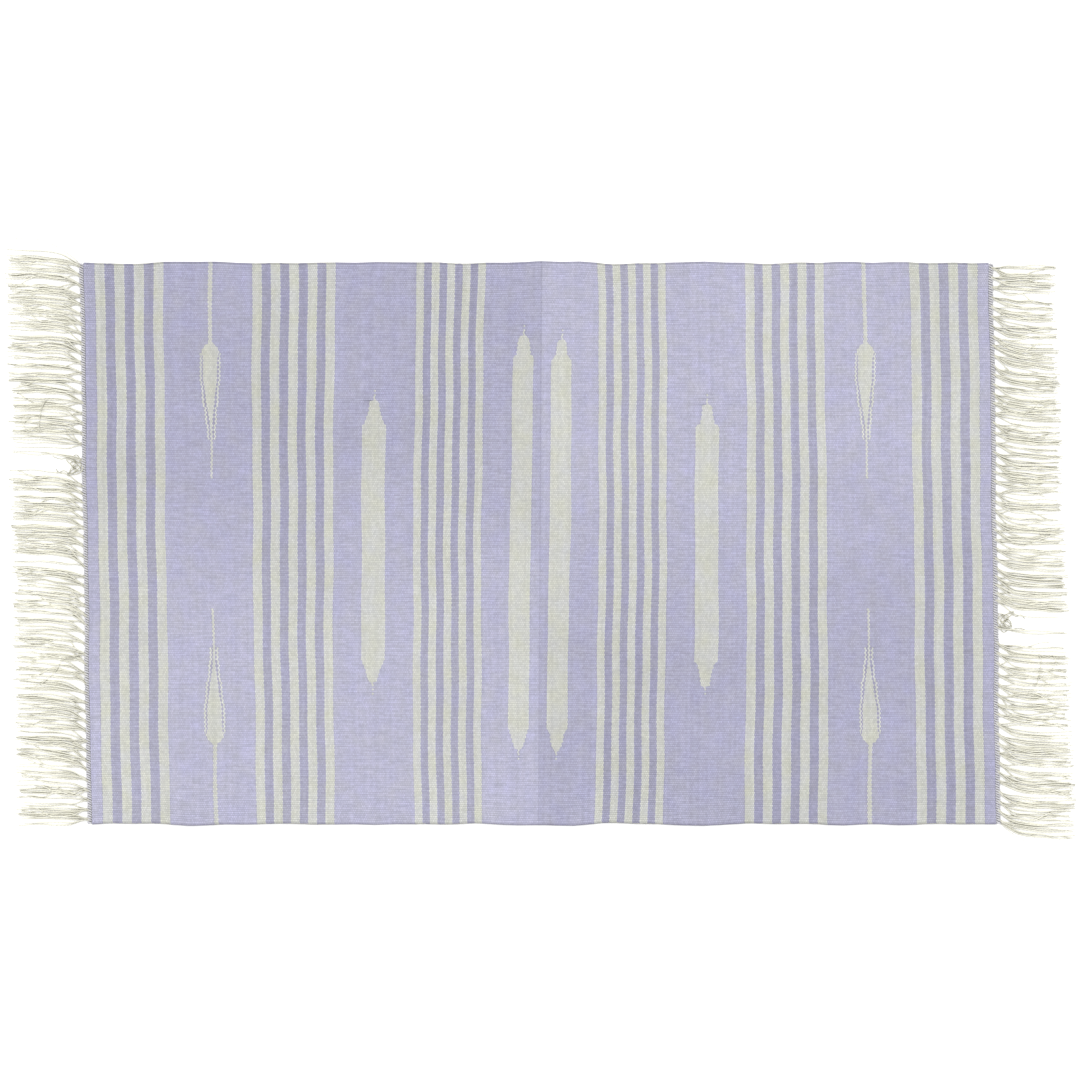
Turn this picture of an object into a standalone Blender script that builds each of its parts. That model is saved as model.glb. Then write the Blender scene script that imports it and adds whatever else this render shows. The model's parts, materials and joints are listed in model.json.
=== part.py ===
"""Flat-woven cotton bath mat: striped weft, inlaid motifs, twined headers and fringed ends.

Metres, +Z up. X runs along the warps, Y across the mat, and the origin is on the floor
under the middle of the mat. The two halves meet at the fold line X = 0. The right half
is the left half turned half a turn about Z, so both are built by the same function.
"""

import math
from collections import namedtuple

import bmesh
import bpy
from mathutils import Matrix, Vector

MM = 0.001

# The cloth
WOVEN_LENGTH = 864 * MM
WOVEN_WIDTH = 533 * MM
THICKNESS = 3.0 * MM
WEFT_LAYER = 0.8 * MM  # weft above the warps, and the same below them
SELVEDGE_TURN = 0.9 * MM  # ground weft carried along each long edge
CLEARANCE = 0.3 * MM  # between neighbouring pieces
FOLD_SETBACK = 0.25 * MM  # of each half from the fold line
FOLD_AXIS_LIFT = 0.2 * MM  # fold axis above the cloth, so that the folded halves lie clear
END_BORDER = 11.5 * MM  # ground weft outside the last stripe

# Groups of cream stripes, in order from the fold line to the end of the mat
StripeGroup = namedtuple("StripeGroup", "count pitch width")
STRIPE_GROUPS = (
    StripeGroup(5, 14.4 * MM, 7.9 * MM),
    StripeGroup(5, 16.9 * MM, 9.3 * MM),
    StripeGroup(4, 18.3 * MM, 9.9 * MM),
)
# How the plain fields before each group share the length that stripes and borders leave
FIELD_SHARES = (0.26, 0.355, 0.385)

# Inlaid motifs
CENTRE_BAR_OFFSET = 18.8 * MM  # from the fold line to the bar's axis
CENTRE_BAR_WIDTH = 20.3 * MM
CENTRE_BAR_SHOULDER = 176 * MM  # from the middle of the mat to where the point starts
SIDE_BAR_WIDTH = 22.7 * MM
SIDE_BAR_SHOULDER = 112 * MM
# The stepped point of a bar: distance past the shoulder, and half width as a share
BAR_POINT = ((0, 1.0), (4 * MM, 0.74), (8 * MM, 0.7), (12 * MM, 0.38))
SPIKE_START = 16 * MM  # past the shoulder
SPIKE_LENGTH = 7 * MM
SPIKE_WIDTH = 1.8 * MM
TAIL_WIDTH = 3.8 * MM
TAIL_LENGTH = 76 * MM  # from the selvedge to the head of the teardrop
TEARDROP_WIDTH = 18 * MM
TEARDROP_LENGTH = 130 * MM
# The side of a teardrop: distance from its neck, and half width as a share
TEARDROP_SIDE = ((5 * MM, 0.7), (15 * MM, 1.0), (30 * MM, 0.92), (61 * MM, 0.45))
TURN_WALL = 1.2 * MM  # where an inlay's weft turns round its last warp

# The ends
TWINING_DIAMETER = 2.0 * MM
TASSEL_COUNT = 58
TASSEL_LENGTH = 65 * MM
TASSEL_ROOT_WIDTH = 2.0 * MM
TASSEL_TIP_WIDTH = 6.0 * MM
TASSEL_HEIGHT = 1.5 * MM
TASSEL_LEAN = 14 * MM  # how far a tip lies to the side of its root
ROOT_BAND = 2.0 * MM  # depth of the row that ties a run of tassels together
# Runs of tassels, as first and last slot counted from the long edge they lean over
TASSEL_RUNS = ((0, 9), (10, 18), (22, 31), (32, 44), (45, 57))
KNOT_SLOTS = (19, 21)  # slots left free for the knot of the twining cord
KNOT_DEPTH = 16 * MM
KNOT_GAP = 0.1 * MM  # left under the other end's tassels when the mat is folded

# Derived from the values above
HALF_LENGTH = WOVEN_LENGTH / 2
HALF_WIDTH = WOVEN_WIDTH / 2
MID_HEIGHT = THICKNESS / 2
WARP_HEIGHT = THICKNESS - 2 * (WEFT_LAYER + CLEARANCE)
STRIPE_HALF_WIDTH = HALF_WIDTH - SELVEDGE_TURN - CLEARANCE
WARP_HALF_WIDTH = STRIPE_HALF_WIDTH - WEFT_LAYER - CLEARANCE
TASSEL_PITCH = WOVEN_WIDTH / TASSEL_COUNT
TWINING_AXIS = HALF_LENGTH + CLEARANCE + TWINING_DIAMETER / 2
TWINING_EDGE = TWINING_AXIS + TWINING_DIAMETER / 2
KNOT_HEIGHT = 2 * (THICKNESS + FOLD_AXIS_LIFT) - TASSEL_HEIGHT - KNOT_GAP
FRINGE_HINGE = TWINING_EDGE + CLEARANCE + math.hypot(ROOT_BAND, TASSEL_HEIGHT) / 2
CUT_OVERSHOOT = 1 * MM

Outline = namedtuple("Outline", "axis_x stations")  # stations: (y, half width)
Box = namedtuple("Box", "x_range y_range z_range")


def clear_scene():
    for leftover in list(bpy.data.objects):
        bpy.data.objects.remove(leftover, do_unlink=True)


def new_collection(name, hidden=False):
    collection = bpy.data.collections.new(name)
    collection.hide_render = hidden
    bpy.context.scene.collection.children.link(collection)
    return collection


def fabric(name, colour, roughness):
    material = bpy.data.materials.new(name)
    material.use_nodes = True
    shader = material.node_tree.nodes["Principled BSDF"]
    shader.inputs["Base Color"].default_value = (*colour, 1)
    shader.inputs["Roughness"].default_value = roughness
    shader.inputs["Metallic"].default_value = 0
    return material


# ---- shapes ----


def box_mesh(name, boxes):
    """One mesh holding a cuboid for each box."""
    work = bmesh.new()
    for box in boxes:
        low, high = zip(*box)
        size = [b - a for a, b in zip(low, high)]
        centre = [(a + b) / 2 for a, b in zip(low, high)]
        place = Matrix.Translation(centre) @ Matrix.Diagonal((*size, 1))
        bmesh.ops.create_cube(work, size=1, matrix=place)
    mesh = bpy.data.meshes.new(name)
    work.to_mesh(mesh)
    work.free()
    return mesh


def prism_mesh(name, loops, thickness, place):
    """A filled flat outline with thickness; every loop after the first is a hole."""
    curve = bpy.data.curves.new(name, "CURVE")
    curve.dimensions = "2D"
    curve.fill_mode = "BOTH"
    curve.extrude = thickness / 2
    for loop in loops:
        spline = curve.splines.new("POLY")
        spline.points.add(len(loop) - 1)
        for point, (u, v) in zip(spline.points, loop):
            point.co = (u, v, 0, 1)
        spline.use_cyclic_u = True
    return settled_mesh(name, curve, place)


def tube_mesh(name, start, end, radius):
    curve = bpy.data.curves.new(name, "CURVE")
    curve.dimensions = "3D"
    curve.bevel_depth = radius
    curve.bevel_resolution = 2
    curve.use_fill_caps = True
    spline = curve.splines.new("POLY")
    spline.points.add(1)
    for point, corner in zip(spline.points, (start, end)):
        point.co = (*corner, 1)
    return settled_mesh(name, curve, Matrix.Identity(4))


def settled_mesh(name, curve, place):
    """The curve's evaluated mesh with its caps welded on, moved to its place."""
    guide = bpy.data.objects.new(name + "_guide", curve)
    bpy.context.scene.collection.objects.link(guide)
    graph = bpy.context.evaluated_depsgraph_get()
    mesh = bpy.data.meshes.new_from_object(guide.evaluated_get(graph))
    bpy.data.objects.remove(guide)
    bpy.data.curves.remove(curve)
    mesh.name = name
    work = bmesh.new()
    work.from_mesh(mesh)
    bmesh.ops.remove_doubles(work, verts=work.verts, dist=0.00001)
    bmesh.ops.transform(work, matrix=place, verts=work.verts)
    bmesh.ops.recalc_face_normals(work, faces=work.faces)
    work.to_mesh(mesh)
    work.free()
    return mesh


def rectangle(half_width, low, high):
    return [(-half_width, low), (half_width, low), (half_width, high), (-half_width, high)]


def weft_ring_mesh(name, length, half_width, side_wall):
    """Weft wound round all the warps: a flat ring, open along X, from X = 0 to length."""
    turned = Matrix(((0, 0, 1, length / 2), (1, 0, 0, 0), (0, 1, 0, 0), (0, 0, 0, 1)))
    outside = rectangle(half_width, 0, THICKNESS)
    inside = rectangle(half_width - side_wall, WEFT_LAYER, THICKNESS - WEFT_LAYER)
    return prism_mesh(name, [outside, inside], length, turned)


def outline_mesh(name, outline, grow=0.0):
    """The outline as a full-height prism, grown all round when it is to be a pocket."""
    first, last = outline.stations[0], outline.stations[-1]
    stations = [(first[0] - grow, first[1]), *outline.stations[1:-1], (last[0] + grow, last[1])]
    right = [(outline.axis_x + half + grow, y) for y, half in stations]
    left = [(outline.axis_x - half - grow, y) for y, half in reversed(stations)]
    height = THICKNESS + (2 * CUT_OVERSHOOT if grow else 0)
    place = Matrix.Translation((0, 0, MID_HEIGHT))
    return prism_mesh(name, [right + left], height, place)


# ---- layout of one half, at negative X ----


def half_layout():
    """Stripes as (centre, width) from the end of the mat inwards, and each field's middle."""
    spans = [(g.count - 1) * g.pitch + g.width for g in STRIPE_GROUPS]
    free = HALF_LENGTH - END_BORDER - sum(spans)
    stripes, field_middles = [], []
    edge = 0.0
    for group, span, share in zip(STRIPE_GROUPS, spans, FIELD_SHARES):
        field_middles.append(-(edge + free * share / 2))
        edge += free * share
        for i in range(group.count):
            stripes.append((-(edge + group.width / 2 + i * group.pitch), group.width))
        edge += span
    return stripes[::-1], field_middles


def bar_outline(axis_x, width, shoulder):
    half = width / 2
    point = [(shoulder + past, half * share) for past, share in BAR_POINT]
    spike = shoulder + SPIKE_START
    point += [(spike, SPIKE_WIDTH / 2), (spike + SPIKE_LENGTH, SPIKE_WIDTH / 2)]
    mirrored = [(-y, h) for y, h in reversed(point)]
    return Outline(axis_x, mirrored + point)


def teardrop_outline(axis_x, side):
    """From the inner tip to the selvedge at +Y; side -1 mirrors it to the other long edge."""
    neck = HALF_WIDTH - TAIL_LENGTH
    tip = neck - TEARDROP_LENGTH
    half, spike, tail = TEARDROP_WIDTH / 2, SPIKE_WIDTH / 2, TAIL_WIDTH / 2
    sides = [(neck - past, half * share) for past, share in reversed(TEARDROP_SIDE)]
    stations = [(tip, spike), (tip + SPIKE_LENGTH, spike), *sides]
    stations += [(neck, tail), (STRIPE_HALF_WIDTH, tail)]
    if side < 0:
        stations = [(-y, h) for y, h in reversed(stations)]
    return Outline(axis_x, stations)


def turn_boxes(outline):
    """Where the inlay passes through the sheet of warps, at an end short of the selvedge."""
    boxes = []
    for (y, half), inwards in ((outline.stations[0], 1), (outline.stations[-1], -1)):
        if abs(y) < WARP_HALF_WIDTH:
            reach = sorted((y, y + inwards * TURN_WALL))
            boxes.append((outline.axis_x, half, reach))
    return boxes


# ---- pieces ----


class Half:
    """Places the pieces of one half under an empty that turns the right half round."""

    def __init__(self, name, pieces, cutters):
        self.name = name
        self.right = name == "right"
        self.pieces = pieces
        self.cutters = cutters
        self.root = self.empty(name + "_half", None, (0, 0, 0))
        if self.right:
            self.root.rotation_euler.z = math.pi
        hinge = (-FRINGE_HINGE, 0, TASSEL_HEIGHT / 2)
        self.fringe = self.empty("fringe_" + name, self.root, hinge)

    def empty(self, name, parent, location):
        marker = bpy.data.objects.new(name, None)
        marker.parent = parent
        marker.location = location
        self.pieces.objects.link(marker)
        return marker

    def edge(self, y):
        """The long edge that a place at this Y ends up near: back is +Y, front is -Y."""
        return "back" if (y > 0) != self.right else "front"

    def add(self, name, mesh, material, location=(0, 0, 0), parent=None):
        piece = bpy.data.objects.new(name, mesh)
        mesh.materials.clear()
        mesh.materials.append(material)
        piece.parent = parent or self.root
        piece.location = Vector(location) - (parent.location if parent else Vector())
        self.pieces.objects.link(piece)
        return piece

    def cut(self, piece, meshes, operation="DIFFERENCE"):
        """Cuts each mesh, in the half's own place, out of the piece."""
        for mesh in meshes:
            cutter = bpy.data.objects.new(mesh.name, mesh)
            cutter.parent = self.root
            cutter.hide_render = True
            cutter.display_type = "WIRE"
            self.cutters.objects.link(cutter)
            boolean = piece.modifiers.new(mesh.name, "BOOLEAN")
            boolean.operation = operation
            boolean.object = cutter


def add_warps(half, inlays, yarn):
    sheet_half_width = WARP_HALF_WIDTH - WARP_HEIGHT - CLEARANCE
    height = (MID_HEIGHT - WARP_HEIGHT / 2, MID_HEIGHT + WARP_HEIGHT / 2)
    length = (-HALF_LENGTH, -FOLD_SETBACK)
    sheet_box = Box(length, (-sheet_half_width, sheet_half_width), height)
    sheet = half.add("warp_sheet_" + half.name, box_mesh("warp_sheet", [sheet_box]), yarn)
    slits = []
    for outline in inlays:
        for axis_x, half_width, (low, high) in turn_boxes(outline):
            across = half_width + CLEARANCE
            slits.append(
                Box(
                    (axis_x - across, axis_x + across),
                    (low - CLEARANCE, high + CLEARANCE),
                    (-CUT_OVERSHOOT, THICKNESS + CUT_OVERSHOOT),
                )
            )
    half.cut(sheet, [box_mesh("inlay_slits", slits)])
    cord_y = WARP_HALF_WIDTH - WARP_HEIGHT / 2
    for y in (cord_y, -cord_y):
        ends = ((length[0], y, MID_HEIGHT), (length[1], y, MID_HEIGHT))
        cord = tube_mesh("selvedge_cord", *ends, WARP_HEIGHT / 2)
        half.add(f"selvedge_cord_{half.edge(y)}_{half.name}", cord, yarn)


def add_ground(half, stripes, inlays, weft):
    length = HALF_LENGTH - FOLD_SETBACK
    mesh = weft_ring_mesh("ground_weft", length, HALF_WIDTH, SELVEDGE_TURN)
    mesh.transform(Matrix.Translation((-HALF_LENGTH, 0, 0)))
    ground = half.add("ground_weft_" + half.name, mesh, weft)
    reach = STRIPE_HALF_WIDTH + CLEARANCE
    windows = [
        Box(
            (centre - width / 2 - CLEARANCE, centre + width / 2 + CLEARANCE),
            (-reach, reach),
            (-CUT_OVERSHOOT, THICKNESS + CUT_OVERSHOOT),
        )
        for centre, width in stripes
    ]
    pockets = [outline_mesh("inlay_pocket", outline, CLEARANCE) for outline in inlays]
    half.cut(ground, [box_mesh("stripe_windows", windows), *pockets])


def add_stripes(half, stripes, weft):
    shared = {}
    for i, (centre, width) in enumerate(stripes):
        if width not in shared:
            mesh = weft_ring_mesh("stripe", width, STRIPE_HALF_WIDTH, WEFT_LAYER)
            mesh.transform(Matrix.Translation((-width / 2, 0, 0)))
            shared[width] = mesh
        number = 2 * len(stripes) - i if half.right else i + 1
        half.add(f"stripe_{number:02d}", shared[width], weft, (centre, 0, 0))


def add_inlay(half, name, outline, weft):
    """An inlay lies above and below the warps and is closed where its weft turns."""
    inlay = half.add(name, outline_mesh("inlay", outline), weft)
    first, last = outline.stations[0][0], outline.stations[-1][0]
    walls = [WEFT_LAYER if abs(y) >= WARP_HALF_WIDTH else TURN_WALL for y in (first, last)]
    widest = max(h for _, h in outline.stations) + CUT_OVERSHOOT
    tunnel = Box(
        (outline.axis_x - widest, outline.axis_x + widest),
        (first + walls[0], last - walls[1]),
        (WEFT_LAYER, THICKNESS - WEFT_LAYER),
    )
    half.cut(inlay, [box_mesh("warp_tunnel", [tunnel])])


def slot_y(slot):
    return HALF_WIDTH - (slot + 0.5) * TASSEL_PITCH


def tassel_mesh(slots):
    """Tapered tassels that lean to one side, each a cube drawn out along X."""
    work = bmesh.new()
    root_x = -FRINGE_HINGE
    for slot in slots:
        cube = bmesh.ops.create_cube(work, size=1)
        for vert in cube["verts"]:
            at_tip = vert.co.x < 0
            width = TASSEL_TIP_WIDTH if at_tip else TASSEL_ROOT_WIDTH
            vert.co.y = slot_y(slot) + vert.co.y * width + (TASSEL_LEAN if at_tip else 0)
            vert.co.x = root_x - TASSEL_LENGTH if at_tip else root_x
            vert.co.z = (vert.co.z + 0.5) * TASSEL_HEIGHT
    mesh = bpy.data.meshes.new("tassels")
    work.to_mesh(mesh)
    work.free()
    return mesh


def add_end(half, cord, yarn):
    span = HALF_WIDTH - TWINING_DIAMETER / 2
    ends = ((-TWINING_AXIS, -span, MID_HEIGHT), (-TWINING_AXIS, span, MID_HEIGHT))
    twining = tube_mesh("header_twining", *ends, TWINING_DIAMETER / 2)
    half.add("header_twining_" + half.name, twining, cord)

    knot_y = (slot_y(KNOT_SLOTS[0]) + slot_y(KNOT_SLOTS[1])) / 2
    free = (KNOT_SLOTS[1] - KNOT_SLOTS[0]) * TASSEL_PITCH
    size = (KNOT_DEPTH, free - TASSEL_ROOT_WIDTH, KNOT_HEIGHT)
    work = bmesh.new()
    bmesh.ops.create_icosphere(work, subdivisions=2, radius=0.5, matrix=Matrix.Diagonal((*size, 1)))
    knot = bpy.data.meshes.new("twining_knot")
    work.to_mesh(knot)
    work.free()
    knot.shade_smooth()
    knot_x = -(TWINING_EDGE + CLEARANCE + KNOT_DEPTH / 2)
    half.add("twining_knot_" + half.name, knot, cord, (knot_x, knot_y, KNOT_HEIGHT / 2))

    runs = list(enumerate(TASSEL_RUNS, start=1))
    for i, (first, last) in runs:
        number = len(runs) + 1 - i if half.right else i
        reach = TASSEL_PITCH / 2 - CLEARANCE
        band = Box(
            (-FRINGE_HINGE - ROOT_BAND / 2, -FRINGE_HINGE + ROOT_BAND / 2),
            (slot_y(last) - reach, slot_y(first) + reach),
            (0, TASSEL_HEIGHT),
        )
        mesh = box_mesh("root_band", [band])
        mesh.transform(Matrix.Translation(-half.fringe.location))
        name = f"tassels_{half.name}_{number}"
        run = half.add(name, mesh, yarn, half.fringe.location, half.fringe)
        half.cut(run, [tassel_mesh(range(first, last + 1))], "UNION")


def main():
    clear_scene()
    pieces = new_collection("bath_mat")
    cutters = new_collection("cutters", hidden=True)
    lavender = fabric("lavender_weft", (0.47, 0.46, 0.67), 0.85)
    cream = fabric("cream_weft", (0.65, 0.66, 0.60), 0.85)
    yarn = fabric("undyed_warp", (0.80, 0.79, 0.71), 0.9)

    stripes, field_middles = half_layout()
    inlays = {
        "centre_bar": bar_outline(-CENTRE_BAR_OFFSET, CENTRE_BAR_WIDTH, CENTRE_BAR_SHOULDER),
        "side_bar": bar_outline(field_middles[1], SIDE_BAR_WIDTH, SIDE_BAR_SHOULDER),
        "teardrop_high": teardrop_outline(field_middles[2], 1),
        "teardrop_low": teardrop_outline(field_middles[2], -1),
    }
    for name in ("left", "right"):
        half = Half(name, pieces, cutters)
        add_warps(half, inlays.values(), yarn)
        add_ground(half, stripes, inlays.values(), lavender)
        add_stripes(half, stripes, cream)
        add_inlay(half, "centre_bar_" + name, inlays["centre_bar"], cream)
        add_inlay(half, "side_bar_" + name, inlays["side_bar"], cream)
        for side, key in ((1, "teardrop_high"), (-1, "teardrop_low")):
            add_inlay(half, f"teardrop_{half.edge(side)}_{name}", inlays[key], cream)
        add_end(half, yarn, yarn)


main()
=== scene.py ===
import json
import math
import random

import bmesh
import bpy
import numpy as np
from mathutils import Matrix, Vector

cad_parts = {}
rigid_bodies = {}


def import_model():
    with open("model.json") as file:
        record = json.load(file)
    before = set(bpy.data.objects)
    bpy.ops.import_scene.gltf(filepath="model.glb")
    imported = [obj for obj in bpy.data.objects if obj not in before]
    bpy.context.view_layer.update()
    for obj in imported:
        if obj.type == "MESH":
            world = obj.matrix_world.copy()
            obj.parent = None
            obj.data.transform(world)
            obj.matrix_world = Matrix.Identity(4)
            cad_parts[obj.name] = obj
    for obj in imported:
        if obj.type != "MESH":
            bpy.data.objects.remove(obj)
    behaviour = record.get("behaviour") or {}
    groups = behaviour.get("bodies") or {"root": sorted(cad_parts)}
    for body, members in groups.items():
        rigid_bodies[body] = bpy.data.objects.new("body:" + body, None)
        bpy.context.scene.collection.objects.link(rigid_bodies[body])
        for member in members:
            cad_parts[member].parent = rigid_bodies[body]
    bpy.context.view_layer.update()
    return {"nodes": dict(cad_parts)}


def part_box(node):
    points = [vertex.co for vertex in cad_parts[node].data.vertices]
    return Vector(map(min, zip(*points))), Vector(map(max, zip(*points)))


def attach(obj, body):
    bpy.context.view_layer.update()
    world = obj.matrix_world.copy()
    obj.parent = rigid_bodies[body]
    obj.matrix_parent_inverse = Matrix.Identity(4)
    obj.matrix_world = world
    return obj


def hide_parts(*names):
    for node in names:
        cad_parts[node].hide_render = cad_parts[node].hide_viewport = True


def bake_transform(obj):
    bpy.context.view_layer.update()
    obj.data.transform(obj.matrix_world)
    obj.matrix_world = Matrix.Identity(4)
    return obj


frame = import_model()
scene = bpy.context.scene
for startObject in [o for o in scene.objects if o.name in ("Cube", "Light", "Camera")]:
    bpy.data.objects.remove(startObject)
print("frame loaded:", len(frame["nodes"]), "CAD nodes")

clothLow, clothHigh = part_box("ground_weft_left")
halfLength = -clothLow.x
halfWidth = clothHigh.y
headerX = sum(corner.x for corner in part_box("header_twining_right")) / 2
firstStripe = -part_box("stripe_01")[0].x

# materials


def linear(hexCode):  # sRGB hex to the linear colour that Blender takes
    channels = [int(hexCode[i : i + 2], 16) / 255 for i in (1, 3, 5)]
    return [c / 12.92 if c <= 0.04045 else ((c + 0.055) / 1.055) ** 2.4 for c in channels] + [1.0]


def addNode(tree, kind, settings, links=None):
    node = tree.nodes.new("ShaderNode" + kind)
    for key, value in settings.items():
        if isinstance(key, str) and key[0].islower():
            setattr(node, key, value)
        else:
            node.inputs[key].default_value = value
    for socket, source in (links or {}).items():
        tree.links.new(source, node.inputs[socket])
    return node


def feed(tree, socket, source):  # source is a socket of another node, or a value
    if isinstance(source, bpy.types.NodeSocket):
        tree.links.new(source, socket)
    else:
        socket.default_value = source


def tint(tree, blend, amount, first, second):  # mixes two colours
    node = addNode(tree, "Mix", {"data_type": "RGBA", "blend_type": blend})
    for key, source in ((0, amount), (6, first), (7, second)):
        feed(tree, node.inputs[key], source)
    return node.outputs[2]


def calculate(tree, operation, *sources):
    node = addNode(tree, "Math", {"operation": operation})
    for socket, source in zip(node.inputs, sources):
        feed(tree, socket, source)
    return node.outputs[0]


def ramp(tree, source, fromLow, fromHigh, toLow, toHigh):
    levels = {"From Min": fromLow, "From Max": fromHigh, "To Min": toLow, "To Max": toHigh}
    return addNode(tree, "MapRange", levels, {"Value": source}).outputs[0]


def newMaterial(name, settings):
    material = bpy.data.materials.new(name)
    material.use_nodes = True
    tree = material.node_tree
    shader = tree.nodes["Principled BSDF"]
    for socket, value in settings.items():
        shader.inputs[socket].default_value = value
    return material, tree, shader


def grey(level):
    return [level, level, level, 1.0]


# Combed cotton weft, dyed and beaten down hard over the warps. Each pick shows as a row of small
# beads, one on every other rib, and the dye takes unevenly along the yarn.
weave = {
    "ribs": 260,
    "beadLength": 1.7,  # mm along the rib, two picks
    "beadGap": 0.2,  # mm of painted shadow round a bead
    "beadTones": (0.90, 1.06),  # the darkest yarn and the lightest
    "gapShadow": 0.70,
    "beadHeight": 0.00035,
    "cloud": (0.017, 0.0221),  # m along and across a patch of dye
    "streak": (0.016, 0.0021),
    "picks": ((0.0026, 0.5), 0.045),  # picks beaten harder: m along and across, and how far the tone goes
    "broad": ((0.16, 0.07), 0.028),
    "foldBlur": 0.0012,  # m over which one half's painted light turns to the other's
    "quarterShadeSteps": ((0.1, 0.85), (0.004, 0.15)),  # painted light and shade, from the back quarter to the front: m, share of the change
    "selvedge": (0.0020, 0.0008, 0.62),  # m from the edge where its painted shade starts and is full, and its tone
    "seam": 0.0010,  # m of painted shade beside a colour edge, where the two wefts part
    "seamLightAndShade": {"ground": 0.85, "pattern": 1.09},  # painted shade on the ground, painted highlight on the pattern's yarn, which stands proud of the ground's
    "lineShade": 0.84,
}
ribPitch = 2 * halfWidth / weave["ribs"]


def wovenCotton(name, warmHex, coolHex, streakShare, quarterLightAndShade, seamTone, borderShadowLine=None):
    material, tree, shader = newMaterial(
        name,
        {"Roughness": 0.93, "Specular IOR Level": 0.2, "Sheen Weight": 0.18, "Sheen Roughness": 0.45},
    )
    flat = addNode(tree, "UVMap", {"uv_map": "flatCloth"}).outputs["UV"]  # metres on the flat cloth
    beads = addNode(
        tree,
        "TexBrick",
        {
            "offset": 0.5,
            "offset_frequency": 2,
            "Color1": grey(weave["beadTones"][1]),
            "Color2": grey(weave["beadTones"][0]),
            "Mortar": grey(weave["gapShadow"]),
            "Scale": 1000.0,
            "Mortar Size": weave["beadGap"],
            "Mortar Smooth": 0.8,
            "Brick Width": weave["beadLength"],
            "Row Height": ribPitch * 1000,
        },
        {"Vector": addNode(tree, "Mapping", {"Location": (0, halfWidth, 0)}, {"Vector": flat}).outputs[0]},
    )

    def patches(size, detail, low, high):
        scaled = addNode(tree, "Mapping", {"Scale": (1 / size[0], 1 / size[1], 1)}, {"Vector": flat})
        noise = addNode(tree, "TexNoise", {"Scale": 1.0, "Detail": detail}, {"Vector": scaled.outputs[0]})
        return ramp(tree, noise.outputs["Fac"], 0.3, 0.7, low, high)

    cloud = patches(weave["cloud"], 3.0, 0.0, 1.0)
    dye = tint(tree, "MIX", cloud, linear(warmHex), linear(coolHex))
    tones = [patches(weave["streak"], 2.0, 1 - streakShare, 1 + streakShare)]
    for size, share in (weave["picks"], weave["broad"]):
        tones.append(patches(size, 2.0, 1 - share, 1 + share))

    # Pressed in four when it was folded for storage, so the nap lies one way in two of the quarters
    # and the other way in the other two; the light that falls on them differently is painted, two quarters
    # lighter and two darker.
    place = addNode(tree, "SeparateXYZ", {}, {0: flat}).outputs
    blur = weave["foldBlur"]
    half = ramp(tree, place["X"], -blur, blur, -1.0, 1.0)
    steps = [ramp(tree, place["Y"], -reach, reach, -share, share) for reach, share in weave["quarterShadeSteps"]]
    quarter = calculate(tree, "MULTIPLY", half, calculate(tree, "ADD", *steps))
    tones.append(tint(tree, "MIX", ramp(tree, quarter, -1.0, 1.0, 0.0, 1.0), *quarterLightAndShade))

    # Painted shade, darker along the turned selvedge
    starts, full, edgeShade = weave["selvedge"]
    outwards = calculate(tree, "ABSOLUTE", place["Y"])
    tones.append(ramp(tree, outwards, halfWidth - starts, halfWidth - full, 1.0, edgeShade))
    # Painted shade on the ground and a painted highlight on the pattern's yarn, beside each colour edge
    fromSeam = addNode(tree, "Attribute", {"attribute_name": "seamDistance"}).outputs["Fac"]
    tones.append(ramp(tree, fromSeam, 0.0, weave["seam"], seamTone, 1.0))
    if borderShadowLine:  # a painted shadow line at the last thick pick of the end border: where it lies, and its width
        lineX, width = borderShadowLine
        past = calculate(tree, "SUBTRACT", calculate(tree, "ABSOLUTE", place["X"]), lineX)
        off = calculate(tree, "ABSOLUTE", past)
        tones.append(ramp(tree, off, width * 0.4, width * 0.6, weave["lineShade"], 1.0))
    colour = tint(tree, "MULTIPLY", 1.0, dye, beads.outputs["Color"])
    for tone in tones:
        colour = tint(tree, "MULTIPLY", 1.0, colour, tone)
    tree.links.new(colour, shader.inputs["Base Color"])
    raised = calculate(tree, "SUBTRACT", 1.0, beads.outputs["Fac"])
    bump = addNode(tree, "Bump", {"Strength": 0.7, "Distance": weave["beadHeight"]}, {"Height": raised})
    tree.links.new(bump.outputs[0], shader.inputs["Normal"])
    return material


ply = {
    "count": 2.0,
    "groove": (-1.0, 0.2),  # levels of the turn between which a groove rises to the yarn's face
    # share of painted shade in a groove between the plies
    "grooveShade": 0.14,
    "grooveDepth": 0.0003,
    "patchRate": 140.0,  # patches of tone to a metre
    "hollow": 0.0018,  # m from yarn to yarn over which the hollow between them is painted dark with shade
    "root": (0.02, 0.42),  # shares of a yarn's length between which the painted shade at its root fades
}


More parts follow.
